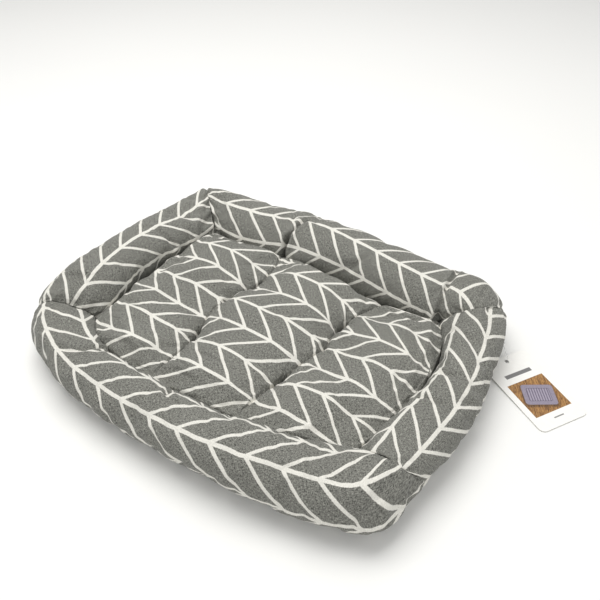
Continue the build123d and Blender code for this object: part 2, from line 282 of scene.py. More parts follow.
def canvas_material():
    """Grey woven canvas with an off-white leaf print: spines one column apart
    and slanting ribs one pitch apart that change slant at every spine."""
    m = Mat("printed_canvas")
    uv = m.node("UVMap", uv_map="print")
    sep = m.node("SeparateXYZ")
    m.put(sep.inputs[0], uv.outputs[0])
    obj = m.node("TexCoord").outputs["Object"]
    # a little hand in the lines
    wob = m.math("MULTIPLY", m.math("SUBTRACT", m.noise(obj, 60.0, 1.0), 0.5), 0.035)
    u = m.math("ADD", sep.outputs[0], wob)
    v = m.math("ADD", sep.outputs[1], m.math("MULTIPLY", wob, -0.8))
    tri = m.math("PINGPONG", v, 1.0)
    # distance from the nearest spine and rib, mm
    dv = m.math("ABSOLUTE", m.math("SUBTRACT", m.math("FRACT", m.math("ADD", v, 0.5)), 0.5))
    dsp = m.math("MULTIPLY", dv, W_MM)
    ur = m.math("SUBTRACT", u, m.math("MULTIPLY", tri, RIB))
    du = m.math("ABSOLUTE", m.math("SUBTRACT", m.math("FRACT", m.math("ADD", ur, 0.5)), 0.5))
    drb = m.math("MULTIPLY", du, P_MM * 0.67)
    edge = m.math("MULTIPLY", m.math("SUBTRACT", m.noise(obj, 900.0, 3.0, 0.6), 0.5), 0.9)
    near = m.math("MINIMUM", m.math("SUBTRACT", dsp, 1.72), m.math("SUBTRACT", drb, 1.42))
    near = m.math("ADD", near, edge)
    ink = m.step(near, -0.22, 0.22, 1.0, 0.0)
    # heather of the yarn: fine light and dark flecks, longer along the thread
    mm = m.node("VectorMath", operation="MULTIPLY")
    m.put(mm.inputs[0], uv.outputs[0])
    mm.inputs[1].default_value = (P_MM, W_MM, 1.0)
    mmv = mm.outputs[0]
    warp = m.node("VectorMath", operation="MULTIPLY")
    m.put(warp.inputs[0], mmv)
    warp.inputs[1].default_value = (0.45, 1.5, 1.0)
    weft = m.node("VectorMath", operation="MULTIPLY")
    m.put(weft.inputs[0], mmv)
    weft.inputs[1].default_value = (1.5, 0.45, 1.0)
    n1 = m.noise(warp.outputs[0], 1.0, 3.0, 0.65)
    n2 = m.noise(weft.outputs[0], 1.0, 3.0, 0.65)
    fleck = m.math("ADD", m.math("SUBTRACT", n1, 0.5), m.math("SUBTRACT", n2, 0.5))
    cloud = m.noise(obj, 18.0, 2.0)
    slub = m.step(m.noise(obj, 620.0, 1.0), 0.70, 0.76, 0.0, 0.55)
    shade = m.math("ADD", m.math("MULTIPLY", fleck, 3.6), m.math("MULTIPLY", m.math("SUBTRACT", cloud, 0.5), 0.25))
    shade = m.math("ADD", shade, slub)
    grey = m.scale_colour(GREY, m.math("ADD", shade, 1.0))
    cream = m.scale_colour(CREAM, m.math("ADD", m.math("MULTIPLY", shade, 0.16), 1.0))
    col = m.mix(m.math("MULTIPLY", ink, 0.97), grey, cream)
    m.put(m.b.inputs["Base Color"], col)
    rough = m.math("SUBTRACT", 0.93, m.math("MULTIPLY", ink, 0.10))
    m.put(m.b.inputs["Roughness"], rough)
    m.b.inputs["Specular IOR Level"].default_value = 0.28
    m.sheen(0.12, 0.45)
    # plain weave: threads 0.62 mm apart both ways, over and under
    s2 = m.node("SeparateXYZ")
    m.put(s2.inputs[0], mmv)
    k = 2 * math.pi / 0.62
    wx = m.math("SINE", m.math("MULTIPLY", s2.outputs[0], k))
    wy = m.math("SINE", m.math("MULTIPLY", s2.outputs[1], k))
    weave = m.math("MULTIPLY", wx, wy)
    h = m.math("ADD", m.math("MULTIPLY", weave, 0.5), m.math("MULTIPLY", fleck, 1.6))
    h = m.math("ADD", h, m.math("MULTIPLY", ink, 0.5))
    m.put(m.b.inputs["Normal"], m.bump(h, 0.00009, 0.8))
    return m.m


GREY = srgb(121, 121, 115)
CREAM = srgb(228, 226, 218)


def cloth_material(name, dark, light, pitch):
    """Plain woven cloth in one shade, in object space."""
    m = Mat(name)
    obj = m.node("TexCoord").outputs["Object"]
    s = m.node("SeparateXYZ")
    m.put(s.inputs[0], obj)
    k = 2 * math.pi / pitch
    wx = m.math("SINE", m.math("MULTIPLY", s.outputs[0], k))
    wy = m.math("SINE", m.math("MULTIPLY", s.outputs[1], k))
    weave = m.math("MULTIPLY", wx, wy)
    n = m.noise(obj, 1400.0, 3.0, 0.6)
    c = m.noise(obj, 26.0, 3.0, 0.5)
    f = m.math("ADD", m.math("MULTIPLY", n, 0.7), m.math("ADD", m.math("MULTIPLY", weave, 0.12), m.math("MULTIPLY", c, 0.3)), clamp=True)
    m.put(m.b.inputs["Base Color"], m.mix(f, dark, light))
    m.b.inputs["Roughness"].default_value = 0.9
    m.b.inputs["Specular IOR Level"].default_value = 0.25
    m.sheen(0.15, 0.5)
    h = m.math("ADD", m.math("MULTIPLY", weave, 0.5), m.math("MULTIPLY", n, 0.9))
    m.put(m.b.inputs["Normal"], m.bump(h, 0.00012, 0.8))
    return m.m


def thread_material(name, colour):
    m = Mat(name)
    obj = m.node("TexCoord").outputs["Object"]
    w = m.node("TexWave", wave_type="BANDS", bands_direction="DIAGONAL")
    m.put(w.inputs["Vector"], obj)
    w.inputs["Scale"].default_value = 900.0
    w.inputs["Distortion"].default_value = 0.6
    n = m.noise(obj, 1100.0, 2.0)
    f = m.math("ADD", m.math("MULTIPLY", w.outputs["Fac"], 0.35), m.math("ADD", m.math("MULTIPLY", n, 0.4), 0.55))
    m.put(m.b.inputs["Base Color"], m.scale_colour(colour, f))
    m.b.inputs["Roughness"].default_value = 0.7
    m.put(m.b.inputs["Normal"], m.bump(w.outputs["Fac"], 0.00012, 0.7))
    return m.m


def nylon_material():
    m = Mat("clear_nylon")
    obj = m.node("TexCoord").outputs["Object"]
    n = m.noise(obj, 500.0, 2.0)
    m.put(m.b.inputs["Base Color"], m.mix(n, (0.93, 0.94, 0.95, 1), (0.99, 0.99, 0.99, 1)))
    m.b.inputs["Roughness"].default_value = 0.22
    m.b.inputs["IOR"].default_value = 1.53
    m.b.inputs["Transmission Weight"].default_value = 0.85
    m.put(m.b.inputs["Normal"], m.bump(n, 0.00004, 0.5))
    return m.m


HOLE = (0.210, 0.109)
TAG = (0.857, -0.5153)


def card_material():
    """Coated white card: a square picture of a bed on a plank floor, with one
    plain bar above and one below it."""
    m = Mat("printed_card")
    obj = m.node("TexCoord").outputs["Object"]
    s = m.node("SeparateXYZ")
    m.put(s.inputs[0], obj)
    dx = m.math("SUBTRACT", s.outputs[0], HOLE[0])
    dy = m.math("SUBTRACT", s.outputs[1], HOLE[1])
    a = m.math("MULTIPLY", m.math("ADD", m.math("MULTIPLY", dx, TAG[0]), m.math("MULTIPLY", dy, TAG[1])), 1000.0)
    c = m.math("MULTIPLY", m.math("ADD", m.math("MULTIPLY", dx, -TAG[1]), m.math("MULTIPLY", dy, TAG[0])), 1000.0)

    def box(a0, a1, c0, c1, soft=0.12):
        q = m.math("MINIMUM", m.math("MINIMUM", m.math("SUBTRACT", a, a0), m.math("SUBTRACT", a1, a)),
                   m.math("MINIMUM", m.math("SUBTRACT", c, c0), m.math("SUBTRACT", c1, c)))
        return m.step(q, -soft, soft)

    def turned(ca, cc, ang, ha, hc, r, soft=0.25):
        """rounded rectangle turned by ang about (ca, cc)"""
        co, si = math.cos(ang), math.sin(ang)
        pa, pc = m.math("SUBTRACT", a, ca), m.math("SUBTRACT", c, cc)
        x = m.math("ADD", m.math("MULTIPLY", pa, co), m.math("MULTIPLY", pc, si))
        y = m.math("SUBTRACT", m.math("MULTIPLY", pc, co), m.math("MULTIPLY", pa, si))
        qx = m.math("MAXIMUM", m.math("SUBTRACT", m.math("ABSOLUTE", x), ha - r), 0.0)
        qy = m.math("MAXIMUM", m.math("SUBTRACT", m.math("ABSOLUTE", y), hc - r), 0.0)
        d = m.math("SUBTRACT", m.math("SQRT", m.math("ADD", m.math("MULTIPLY", qx, qx), m.math("MULTIPLY", qy, qy))), r)
        return m.step(d, -soft, soft, 1.0, 0.0), x, y

    # planks
    pl = m.math("MULTIPLY", m.math("ADD", m.math("MULTIPLY", a, 0.45), m.math("MULTIPLY", c, 0.89)), 0.16)
    row = m.math("FLOOR", pl)
    vec = m.node("CombineXYZ")
    m.put(vec.inputs[0], m.math("MULTIPLY", m.math("SUBTRACT", m.math("MULTIPLY", a, 0.89), m.math("MULTIPLY", c, 0.45)), 0.09))
    m.put(vec.inputs[1], m.math("MULTIPLY", pl, 3.2))
    m.put(vec.inputs[2], m.math("MULTIPLY", row, 3.7))
    grain = m.noise(vec.outputs[0], 2.2, 5.0, 0.65, 0.8)
    wood = m.mix(m.step(grain, 0.32, 0.68), srgb(96, 60, 28), srgb(190, 143, 84))
    gap = m.step(m.math("ABSOLUTE", m.math("SUBTRACT", m.math("FRACT", pl), 0.5)), 0.455, 0.49)
    wood = m.mix(m.math("MULTIPLY", gap, 0.7), wood, srgb(62, 38, 20))
    # the pictured bed: a soft shadow, a puffy rim and a ribbed cushion
    sh, _, _ = turned(47.8, -0.6, -0.42, 13.2, 16.0, 3.2, 1.6)
    wood = m.mix(m.math("MULTIPLY", sh, 0.55), wood, srgb(48, 34, 26))
    rim, x, y = turned(46.6, 0.4, -0.42, 12.0, 15.0, 3.0)
    inner, _, _ = turned(46.6, 0.4, -0.42, 7.6, 10.6, 1.6, 0.5)
    puff = m.noise(obj, 900.0, 3.0, 0.7)
    rimc = m.mix(puff, srgb(112, 104, 122), srgb(170, 162, 178))
    ribs = m.math("SINE", m.math("MULTIPLY", y, 2.6))
    cush = m.mix(m.math("ADD", m.math("MULTIPLY", ribs, 0.45), m.math("MULTIPLY", puff, 0.9), clamp=True), srgb(104, 96, 116), srgb(176, 168, 184))
    edge = m.math("MULTIPLY", m.math("MULTIPLY", inner, m.math("SUBTRACT", 1.0, inner)), 3.2)
    bed = m.mix(inner, rimc, cush)
    bed = m.mix(edge, bed, srgb(74, 66, 86))
    pic = m.mix(rim, wood, bed)
    paper = m.mix(m.noise(obj, 240.0, 3.0), srgb(243, 242, 238), srgb(251, 250, 247))
    grey = srgb(70, 70, 72)
    col = m.mix(box(26.5, 67.5, -20.5, 20.5), paper, pic)
    col = m.mix(m.math("MULTIPLY", box(15.0, 19.4, -15.0, 15.0, 0.2), 0.85), col, grey)
    col = m.mix(m.math("MULTIPLY", box(73.2, 74.6, -5.5, 5.5, 0.2), 0.75), col, grey)
    geo = m.node("NewGeometry")
    nz = m.node("SeparateXYZ")
    m.put(nz.inputs[0], geo.outputs["Normal"])
    top = m.step(nz.outputs[2], 0.3, 0.5)
    m.put(m.b.inputs["Base Color"], m.mix(top, srgb(236, 234, 228), col))
    m.b.inputs["Roughness"].default_value = 0.42
    m.b.inputs["Coat Weight"].default_value = 0.15
    m.put(m.b.inputs["Normal"], m.bump(m.noise(obj, 1500.0, 2.0), 0.00002, 0.4))
    return m.m


def floor_material():
    m = Mat("pale_floor")
    obj = m.node("TexCoord").outputs["Object"]
    n = m.noise(obj, 3.0, 2.0)
    m.put(m.b.inputs["Base Color"], m.mix(n, (0.90, 0.90, 0.885, 1), (0.92, 0.92, 0.905, 1)))
    m.b.inputs["Roughness"].default_value = 0.6
    m.b.inputs["Specular IOR Level"].default_value = 0.2
    return m.m


CANVAS = canvas_material()
LINING = cloth_material("lining_cloth", srgb(176, 174, 168), srgb(222, 220, 214), 0.0011)
BASE = cloth_material("base_cloth", srgb(50, 50, 50), srgb(104, 103, 100), 0.0009)
THREAD = thread_material("sewing_thread", srgb(168, 166, 156))
# tie thread at the tufts: its near-black colour is painted shade standing in for the shadow inside each tuft's slit
SLIT_SHADE_THREAD = thread_material("tuft_tie_slit_shade", srgb(38, 38, 36))
HEM = thread_material("hem_thread", srgb(120, 119, 114))
NYLON = nylon_material()
CARD = card_material()


# ------------------------------------------------------------ meshes
def new_object(name, verts_mm, faces, uvs=None, mats=(), face_mats=None, smooth=True):
    me = bpy.data.meshes.new(name)
    me.from_pydata((np.asarray(verts_mm, float) * MM).tolist(), [], [tuple(int(i) for i in f) for f in faces])
    if uvs is not None:
        layer = me.uv_layers.new(name="print")
        layer.data.foreach_set("uv", np.asarray(uvs, np.float32).ravel())
    for mt in mats:
        me.materials.append(mt)
    if face_mats is not None:
        me.polygons.foreach_set("material_index", np.asarray(face_mats, np.int32))
    me.polygons.foreach_set("use_smooth", [smooth] * len(me.polygons))
    me.update()
    ob = bpy.data.objects.new(name, me)
    bpy.context.scene.collection.objects.link(ob)
    return ob


def coords(ob):
    a = np.empty(len(ob.data.vertices) * 3, np.float32)
    ob.data.vertices.foreach_get("co", a)
    return a.reshape(-1, 3).astype(float) / MM


def set_coords(ob, P):
    ob.data.vertices.foreach_set("co", (np.asarray(P) * MM).astype(np.float32).ravel())
    ob.data.update()


def normals(ob):
    a = np.empty(len(ob.data.vertices) * 3, np.float32)
    ob.data.vertices.foreach_get("normal", a)
    return a.reshape(-1, 3).astype(float)


def wave_noise(P, scale, seed, octaves=3):
    """Smooth noise from sums of sines, the same on every run."""
    rng = np.random.RandomState(seed)
    out = np.zeros(len(P)); amp = 1.0
    for o in range(octaves):
        for _ in range(5):
            d = rng.normal(size=3); d /= np.linalg.norm(d)
            k = 2 * math.pi / (scale / 2**o) * rng.uniform(0.7, 1.3)
            out += amp * np.sin(P @ d * k + rng.uniform(0, 6.283))
        amp *= 0.5
    return out / 5.0


def inflate(ob, pins, pressure, shrink, cap, frames=20, bend=0.6, stiff=18.0, floor_z=None):
    """Cloth simulation of the stuffed cover: the cloth is cut larger than the
    space between its seams, so it puckers as the filling presses it outwards.
    pins is a weight per vertex; no point moves further than cap (mm)."""
    start = coords(ob)
    g = ob.vertex_groups.new(name="pins")
    for w in np.unique(np.round(pins, 2)):
        if w > 0:
            g.add(np.nonzero(np.round(pins, 2) == w)[0].tolist(), float(w), "REPLACE")
    md = ob.modifiers.new("cloth", "CLOTH")
    st = md.settings
    st.quality = 6
    st.mass = 0.25
    st.vertex_group_mass = "pins"
    st.pin_stiffness = 1.0
    st.tension_stiffness = st.compression_stiffness = stiff
    st.shear_stiffness = stiff * 0.5
    st.bending_stiffness = bend
    st.tension_damping = st.compression_damping = 15
    st.air_damping = 4
    st.use_pressure = True
    st.uniform_pressure_force = pressure
    st.shrink_min = shrink
    st.effector_weights.gravity = 0.0
    md.collision_settings.use_collision = False
    md.collision_settings.use_self_collision = False
    sc = bpy.context.scene
    sc.frame_start, sc.frame_end = 1, frames
    md.point_cache.frame_start, md.point_cache.frame_end = 1, frames
    for f in range(1, frames + 1):
        sc.frame_set(f)
    dg = bpy.context.evaluated_depsgraph_get()
    ev = ob.evaluated_get(dg)
    me = ev.to_mesh()
    a = np.empty(len(me.vertices) * 3, np.float32)
    me.vertices.foreach_get("co", a)
    ev.to_mesh_clear()
    end = a.reshape(-1, 3).astype(float) / MM
    ob.modifiers.remove(md)
    ob.vertex_groups.remove(g)
    sc.frame_set(1)
    if not np.isfinite(end).all():
        end = start
    move = end - start
    L = np.linalg.norm(move, axis=1)
    k = np.where(L > cap, cap * (1 + np.tanh((L - cap) / cap) * 0.15) / np.maximum(L, 1e-9), 1.0)
    P = start + move * k[:, None]
    if floor_z is not None:
        P[:, 2] = np.maximum(P[:, 2], floor_z)
    set_coords(ob, P)
    print("inflate", ob.name, "moved mean %.2f max %.2f mm" % (L.mean(), L.max()))


def subdivide(ob, levels=1):
    md = ob.modifiers.new("smooth", "SUBSURF")
    md.levels = md.render_levels = levels
    md.uv_smooth = "PRESERVE_BOUNDARIES"


# ------------------------------------------------------------ bolsters
BOL_N = {"front": (150, 66), "right": (104, 66), "back": (146, 72), "left": (106, 70)}


def bolster_piece(name):
    ns, nt = BOL_N[name]
    T, U, V, PS = bolster(name, ns, nt + 1)
    UP = U
    if name == "front":   # the print runs ahead a little towards the front corner
        UP = U - np.interp(U, [8, 9, 10, 11, 12, 13, 14.5], [0, 0.07, 0.09, 0.12, 0.22, 0.30, 0.36])
    # the print sits a little tighter on the inner side of these two
    V = np.where(V > 0, V * {"front": 1.06, "right": 1.09}.get(name, 1.0), V)
    c0, c1 = ENDS[name]
    # distance of every ring from its nearer seam, mm
    d0 = (U - U[:1]) * P_MM
    d1 = (U[-1:] - U) * P_MM
    # the seam ring is drawn in, and the cover turns round into it
    for ring, d in ((0, d0), (-1, d1)):
        mid = T[ring].mean(0)
        pull = (mid - T[ring]) / np.linalg.norm(mid - T[ring], axis=1)[:, None]
        deep = SEAM_PULL[c0 if ring == 0 else c1]
        w = np.clip(1 - d / 9.0, 0, 1) ** 2
        if (c0 if ring == 0 else c1) == "F":
            w = w * np.clip((PS - math.radians(70)) / math.radians(35), 0, 1)
        T = T + pull[None] * (w * deep)[..., None] * np.where(T[..., 2:] > 6, 1.0, 0.0)
    # hairline between the two covers of one seam
    for ring, nxt in ((0, 1), (-1, -2)):
        away = (T[nxt] - T[ring]) / np.maximum(np.linalg.norm(T[nxt] - T[ring], axis=1), 1e-6)[:, None]
        gap = np.full(len(away), 0.35)
        if (c0 if ring == 0 else c1) == "F":
            gap = 0.02 + 0.33 * np.clip((PS[ring] - math.radians(75)) / math.radians(30), 0, 1)
        T[ring] += away * gap[:, None]
    body = T[:, :nt].reshape(-1, 3)
    verts = [body]
    faces, uv = [], []
    for i in range(ns - 1):
        for j in range(nt):
            j2 = (j + 1) % nt
            faces.append((i * nt + j, (i + 1) * nt + j, (i + 1) * nt + j2, i * nt + j2))
            uv += [(UP[i, j], V[i, j]), (UP[i + 1, j], V[i + 1, j]), (UP[i + 1, j + 1], V[i + 1, j + 1]), (UP[i, j + 1], V[i, j + 1])]
    # closed end: the cover folds in behind the seam
    base = ns * nt
    for ring, sg in ((0, 1), (-1, -1)):
        E = T[ring][:nt]
        mid = E.mean(0)
        nrm = np.cross(E[nt // 4] - mid, E[0] - mid); nrm /= np.linalg.norm(nrm)
        inside = T[3 if ring == 0 else -4][:nt].mean(0) - mid
        if np.dot(nrm, inside) < 0:
            nrm = -nrm
        prev = np.arange(nt) + (0 if ring == 0 else (ns - 1) * nt)
        Ue, Ve = UP[ring], V[ring]
        for sc, dp in ((0.90, 1.2), (0.72, 2.4), (0.45, 3.2), (0.18, 3.6)):
            R = mid + (E - mid) * sc + nrm * dp
            verts.append(R)
            cur = base + np.arange(nt); base += nt
            for j in range(nt):
                j2 = (j + 1) % nt
                q = (prev[j], prev[j2], cur[j2], cur[j])
                w = [(Ue[j], Ve[j]), (Ue[j + 1], Ve[j + 1]), (Ue[j + 1] + sg * 0.3 * (1 - sc), Ve[j + 1]), (Ue[j] + sg * 0.3 * (1 - sc), Ve[j])]
                if ring == -1:
                    q, w = q[::-1], w[::-1]
                faces.append(q); uv += w
            prev = cur
        verts.append((mid + nrm * 3.7)[None]); top = base; base += 1
        for j in range(nt):
            j2 = (j + 1) % nt
            q = (prev[j], prev[j2], top)
            w = [(Ue[j], Ve[j]), (Ue[j + 1], Ve[j + 1]), (Ue[j] + sg * 0.3, Ve[j])]
            if ring == -1:
                q, w = q[::-1], w[::-1]
            faces.append(q); uv += w
    P = np.concatenate(verts)
    ob = new_object("bolster_" + name, P, faces, uv, [CANVAS])
    # the seam edge stays crisp
    me = ob.data
    ev = np.empty(len(me.edges) * 2, np.int32); me.edges.foreach_get("vertices", ev); ev = ev.reshape(-1, 2)
    hard = ((ev < nt).all(1)) | (((ev >= (ns - 1) * nt) & (ev < ns * nt)).all(1))
    cr = me.attributes.new("crease_edge", "FLOAT", "EDGE"); cr.data.foreach_set("value", hard.astype(np.float32))
    sh = me.attributes.new("sharp_edge", "BOOLEAN", "EDGE"); sh.data.foreach_set("value", hard)
    # outward faces
    n = normals(ob)
    mid = T[:, :nt].mean(1)
    out = body - np.repeat(mid, nt, 0)
    if np.sum(np.einsum("ij,ij->i", n[:ns * nt], out) > 0) < ns * nt / 2:
        ob.data.flip_normals()
    n = normals(ob)
    # hand-made unevenness: the filling is lumpy and the cloth creases at the seams
    lump = wave_noise(body, 40.0, 11 + len(name)) * 1.0
    seam = np.minimum(d0, d1)[:, :nt].reshape(-1)
    uu = U[:, :nt].reshape(-1) * P_MM
    pp = PS[:, :nt].reshape(-1)
    arc = pp * 28.0
    crease = np.sin(arc * 2 * math.pi / 13.0 + wave_noise(body, 60.0, 5) * 2.5) * np.exp(-seam / 11.0) * np.clip(seam / 2.5, 0, 1) * 1.1
    # gathers where the inner side is sewn to the pad
    gather = np.sin(uu * 2 * math.pi / 11.5 + wave_noise(body, 70.0, 9) * 2.6)
    gather = gather * np.exp(-((pp - math.radians(168)) / math.radians(24)) ** 2) * (0.55 + 0.45 * wave_noise(body, 90.0, 21))
    top = np.clip((body[:, 2] - 4) / 8, 0, 1)
    D = (lump + crease + gather * 0.8) * top
    for pts, width, depth in FOLDS[name]:
        A = np.array([(u * P_MM, math.radians(q) * 28.0) for u, q in pts])
        near = np.full(len(uu), 1e9)
        for p, q in zip(A[:-1], A[1:]):
            v = q - p
            t = np.clip(((uu - p[0]) * v[0] + (arc - p[1]) * v[1]) / (v @ v), 0, 1)
            near = np.minimum(near, np.hypot(uu - p[0] - t * v[0], arc - p[1] - t * v[1]))
        D -= depth * (np.exp(-(near / width) ** 2) - 0.35 * np.exp(-((near - 2.2 * width) / width) ** 2)) * top
    P2 = P.copy()
    P2[:ns * nt] += n[:ns * nt] * D[:, None]
    set_coords(ob, P2)
    pins = np.zeros(len(P2))
    pins[ns * nt:] = 1.0
    pins[:nt] = 1.0
    pins[(ns - 1) * nt:ns * nt] = 1.0
    pins[:ns * nt] = np.maximum(pins[:ns * nt], np.clip((11.0 - body[:, 2]) / 7.0, 0, 1))
    inflate(ob, pins, 2.0, -0.05, 3.2, frames=15, bend=0.25, stiff=20.0, floor_z=1.5)
    if name == "right":   # pressed in a little beside the hang tag
        Q = coords(ob)
        p, q = np.array([5.7 * P_MM, math.radians(-44) * 28.0]), np.array([7.2 * P_MM, math.radians(-38) * 28.0])
        v = q - p
        t = np.clip(((uu - p[0]) * v[0] + (arc - p[1]) * v[1]) / (v @ v), 0, 1)
        near = np.hypot(uu - p[0] - t * v[0], arc - p[1] - t * v[1])
        Q[:ns * nt] -= n[:ns * nt] * (4.8 * np.exp(-(near / 13.0) ** 2))[:, None]
        set_coords(ob, Q)
    subdivide(ob)
    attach(ob, "bed")
    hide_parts("bolster_cover_" + name, "bolster_fill_" + name)
    return ob, T, U, V


SEAM_PULL = {"L": 2.6, "F": 2.2, "R": 3.0, "B": 2.6}
# folds and tucks: a line of (u, psi in degrees), half-width and depth in mm
FOLDS = {
    "front": [([(5.9, 132), (6.0, 114), (6.5, 104)], 2.4, 3.8), ([(1.9, 66), (2.3, 74), (2.6, 100), (2.7, 150)], 2.4, 2.8),
              ([(10.1, 64), (10.5, 74)], 2.6, 1.6), ([(11.1, 80), (11.7, 76)], 2.6, 1.6),
              ([(4.4, 150), (4.7, 132)], 2.6, 1.6), ([(2.7, 165), (3.2, 140)], 2.6, 1.8), ([(5.6, 160), (6.1, 136)], 2.8, 1.8)],
    "right": [([(4.1, 134), (4.0, 84)], 2.6, 1.7), ([(2.8, 144), (2.85, 84)], 2.6, 1.8), ([(6.1, 140), (5.7, 100)], 3.0, 0.9)],
    "back": [([(12.0, 160), (12.05, 70)], 2.4, 2.0), ([(3.35, 190), (3.35, 148)], 5.0, 10.0), ([(3.38, 150), (3.55, 104), (3.7, 84)], 3.6, 4.2), ([(3.0, 88), (3.3, 128)], 3.2, 1.6),
             ([(10.4, 190), (10.35, 168)], 4.0, 4.5), ([(10.35, 168), (10.3, 110), (10.4, 48)], 3.2, 4.2), ([(6.6, 150), (6.8, 118)], 3.0, 1.2)],
    "left": [([(4.7, 112), (4.9, 158)], 2.6, 2.4), ([(2.6, 120), (2.3, 160)], 3.0, 0.9), ([(6.0, 80), (6.4, 130)], 3.0, 0.8)],
}

bolsters = {}
for side in ("front", "right", "back", "left"):
    bolsters[side] = bolster_piece(side)


# ------------------------------------------------------------ pad
def inner_edge(side):
    """Plan line of a bolster's inner equator, in the order of u."""
    ob, T, U, V = bolsters[side]
    j = int(round((180 + 120) / 360 * (T.shape[1] - 1)))
    return T[:, j, :2]


def resample(line, n, warp):
    L = np.concatenate([[0], np.cumsum(np.hypot(*np.diff(line, axis=0).T))])
    s = warp * L[-1]
    return np.stack([np.interp(s, L, line[:, 0]), np.interp(s, L, line[:, 1])], -1)


def edge_warp(n, fine):
    """0..1 with closer spacing at both ends."""
    t = np.linspace(0, 1, n)
    return (1 - fine) * t + fine * (t - np.sin(2 * math.pi * t) / (2 * math.pi))


PAD_S = [(1.4,-2.9),(0.4,0.5),(4.2,-1.7),(1.3,-1.6),(-1.9,6.3),(0.4,3.8),(2.2,0.4),(1.1,-6.0),(1.7,-8.1),(-0.7,-6.1)], \
    [(2.0,3.1),(6.2,-0.7),(1.1,-1.4),(-0.8,0.9),(1.9,2.1),(3.3,-3.6),(3.8,-6.5),(1.3,-2.5),(2.9,-5.4)], \
    [(9.2,-5.9),(2.8,2.5),(5.2,0.8),(-3.5,4.3),(-2.2,2.4),(1.2,4.0),(5.1,3.0),(2.9,1.0),(3.2,1.6),(5.8,-0.2)], \
    [(4.0,-0.2),(4.2,-0.2),(-1.4,2.2),(2.2,-0.4),(3.0,0.2),(3.2,-1.6),(-1.6,4.5),(0.4,1.3),(3.7,-4.6)], \
    [(0.6,-3.2),(3.1,-2.4),(5.0,-1.7),(1.3,-2.0),(0.6,0.6),(3.5,-0.3),(5.7,-5.2),(-0.6,2.2),(-1.8,3.9),(1.0,2.1)], \
    [(3.4,-4.5),(2.0,1.4),(-2.9,2.5),(0.6,-0.4),(1.8,-0.1),(2.3,0.7),(-2.0,4.4),(2.6,0.9),(4.8,1.3)]
_k, _d = [], []
for r, row in enumerate(PAD_S):
    for q, dxy in enumerate(row):
        _k.append((q + (RIB if r % 2 else 0.0), float(r))); _d.append(dxy)
_k, _d = np.array(_k), np.array(_d)


def print_drift(i, j):
    """How far the print is pulled from its even spacing, mm."""
    q = (i[:, None] - _k[:, 0]) ** 2 + (j[:, None] - _k[:, 1]) ** 2
    w = np.exp(-q / (2 * 0.52**2)) + 1e-5
    far = np.exp(-np.maximum(q.min(1) - 0.8, 0) / 3.0)
    return (w @ _d) / w.sum(1)[:, None] * far[:, None]


def pad_print(X, Y):
    """Print coordinates of a plan point of the pad."""
    i = (X + 49.5) / 27.75 + 2.5; j = (57 - Y) / 30.0
    for _ in range(14):
        d = print_drift(i, j)
        i2 = (X - d[:, 0] + 49.5) / 27.75 + 2.5
        j2 = (57 - (Y - d[:, 1])) / 30.0
        i, j = 0.5 * i + 0.5 * i2, 0.5 * j + 0.5 * j2
    return i, j


# the two quilting lines, as x over y, through their tufts
LINE_A = spline([-125, -93.5, -54.9, 2.8, 32.3, 116.6], [-38.5, -39.5, -44.0, -51.8, -41.6, -57.0])
LINE_B = spline([-125, -88.8, -59.4, -0.9, 32.3, 82.0, 110.0], [50.0, 53.2, 55.5, 66.9, 65.4, 83.5, 90.0])
TUFTS = [(-41.6, 32.3), (-44.0, -54.9), (65.4, 32.3), (55.5, -59.4)]
DIMPLES = [(-51.8, 2.8), (66.9, -0.9)]


def pad_height(X, Y):
    """Height of the pad's top over its plan, before the cloth is inflated."""
    xa, xb = LINE_A(Y), LINE_B(Y)
    lo = np.full_like(X, -166.0); hi = np.full_like(X, 180.0)
    t = np.where(X < xa, (X - lo) / (xa - lo), np.where(X < xb, (X - xa) / (xb - xa), (X - xb) / (hi - xb)))
    t = np.clip(2 * t - 1, -1, 1)
    crown = 1 - np.abs(t) ** 2.4
    # the quilting lines are deep at the tufts and rise between them
    near = np.zeros_like(X)
    for p in TUFTS:
        near = np.maximum(near, np.exp(-((Y - p[1]) / 15.0) ** 2))
    for p in DIMPLES:
        near = np.maximum(near, 0.8 * np.exp(-((Y - p[1]) / 13.0) ** 2))
    valley = 33.0 - 4.0 * near
    z = valley + (43.0 - valley) * np.clip(crown, 0, 1) ** 0.5
    # it swells up against the front and right bolsters
    z = z + 2.0 * np.clip((-78 - Y) / 40, 0, 1) + 1.5 * np.clip((X - 135) / 25, 0, 1)
    return z


def tuft_depth(X, Y):
    """The ties pull a short slit along the quilting line, with gathers round it."""
    D = np.zeros_like(X)
    for k, (px, py) in enumerate(TUFTS):
        line = LINE_A if px < 0 else LINE_B
        dx, dy = X - line(Y), Y - py
        r = np.hypot(X - px, dy)
        th = np.arctan2(dy, X - px)
        D += 12.5 * np.exp(-(np.abs(dx) / 1.3) ** 1.6 - (dy / 8.5) ** 4) + 2.4 * np.exp(-(r / 12.0) ** 2)
        D += 0.9 * np.sin(7 * th + k * 1.7) * np.exp(-((r - 10) / 7.0) ** 2)
    for k, (px, py) in enumerate(DIMPLES):
        r = np.hypot((X - px) / 0.8, Y - py)
        D += 3.0 * np.exp(-(r / 6.5) ** 2)
    return D


def clustered(a, b, n, fine_a, fine_b):
    """n steps from a to b, closer together towards the ends that are fine."""
    t = np.linspace(0, 1, n + 1)
    w = t.copy()
    if fine_a and fine_b:
        w = 0.25 * t + 0.75 * (t - np.sin(2 * math.pi * t) / (2 * math.pi))
    return a + (b - a) * w


